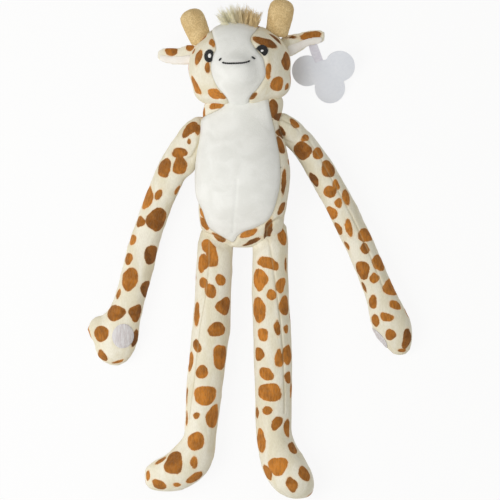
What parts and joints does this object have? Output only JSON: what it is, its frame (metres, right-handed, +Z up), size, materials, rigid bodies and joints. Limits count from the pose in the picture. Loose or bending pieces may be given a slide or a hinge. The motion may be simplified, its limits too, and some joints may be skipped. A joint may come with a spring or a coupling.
{
  "type": "plush giraffe",
  "caption": "Plush giraffe lying on its back, with long floppy arms and legs, stuffed horns, soft ears, a white belly and a blank swing tag.",
  "frame": {"origin": "on the surface that the toy lies on, under the middle of its outline", "axes": "+Z up, out of the belly; +Y towards the head; +X to the right of someone who looks down at it with the head at the top. Left and right in the names are that viewer's."},
  "size_m": [0.3241, 0.4981, 0.0892],
  "materials": {
    "spotted_plush": "short-pile plush, cream with caramel spots",
    "white_plush": "short-pile plush, white",
    "tan_plush": "short-pile plush, tan",
    "hair_pile": "long loose pile, sandy",
    "dark_thread": "black satin-stitch embroidery",
    "white_thread": "white satin-stitch embroidery",
    "filling": "loose polyester fibre",
    "fastener": "hook-and-loop tape, pale",
    "tag_card": "pale grey card, blank"
  },
  "bodies": {
    "torso": {"body_cover": "spotted_plush", "belly_panel": "white_plush", "body_fill": "filling"},
    "head": {"head_cover": "spotted_plush", "face_panel": "white_plush", "head_fill": "filling", "left_eye": "dark_thread", "left_eye_glint": "white_thread", "left_nostril": "dark_thread", "right_eye": "dark_thread", "right_eye_glint": "white_thread", "right_nostril": "dark_thread", "mouth_stitch": "dark_thread", "left_horn": "tan_plush", "right_horn": "tan_plush", "hair_tuft": "hair_pile"},
    "left_ear": {"left_ear_back": "spotted_plush", "left_ear_lining": "white_plush"},
    "right_ear": {"right_ear_back": "spotted_plush", "right_ear_lining": "white_plush"},
    "left_arm": {"left_arm_cover": "spotted_plush", "left_arm_fill": "filling", "left_palm_patch": "fastener"},
    "right_arm": {"right_arm_cover": "spotted_plush", "right_arm_fill": "filling", "right_palm_patch": "fastener"},
    "left_leg": {"left_leg_cover": "spotted_plush", "left_leg_fill": "filling"},
    "right_leg": {"right_leg_cover": "spotted_plush", "right_leg_fill": "filling"},
    "swing_tag": {"tag_strap": "tag_card", "tag": "tag_card"}
  },
  "joints": [
    {"name": "head_nod", "type": "hinge", "parent": "torso", "child": "head", "pos_m": [-0.0142, 0.14339, 0.03252], "axis": [1, 0, 0], "range_deg": [-30, 25]},
    {"name": "left_arm_lift", "type": "hinge", "parent": "torso", "child": "left_arm", "pos_m": [-0.05422, 0.11406, 0.03], "axis": [0.071, 0.9975, 0], "range_deg": [-30, 55]},
    {"name": "right_arm_lift", "type": "hinge", "parent": "torso", "child": "right_arm", "pos_m": [0.02727, 0.12543, 0.03], "axis": [0.4187, -0.9081, 0], "range_deg": [-30, 55]},
    {"name": "left_leg_fold", "type": "hinge", "parent": "torso", "child": "left_leg", "pos_m": [-0.0345, 0.007, 0.019], "axis": [-1, 0, 0], "range_deg": [-30, 65]},
    {"name": "right_leg_fold", "type": "hinge", "parent": "torso", "child": "right_leg", "pos_m": [0.0195, 0.007, 0.019], "axis": [-1, 0, 0], "range_deg": [-30, 65]},
    {"name": "left_ear_flap", "type": "hinge", "parent": "head", "child": "left_ear", "pos_m": [-0.06236, 0.19695, 0.038], "axis": [0.3545, 0.9351, 0], "range_deg": [-45, 60], "stiffness_Nm_per_rad": 0.004},
    {"name": "right_ear_flap", "type": "hinge", "parent": "head", "child": "right_ear", "pos_m": [0.03781, 0.20572, 0.038], "axis": [0.5115, -0.8593, 0], "range_deg": [-10, 60], "stiffness_Nm_per_rad": 0.006},
    {"name": "tag_swing", "type": "hinge", "parent": "right_ear", "child": "swing_tag", "pos_m": [0.06501, 0.2108, 0.03223], "axis": [-0.9703, -0.2419, 0], "range_deg": [-60, 10]}
  ]
}
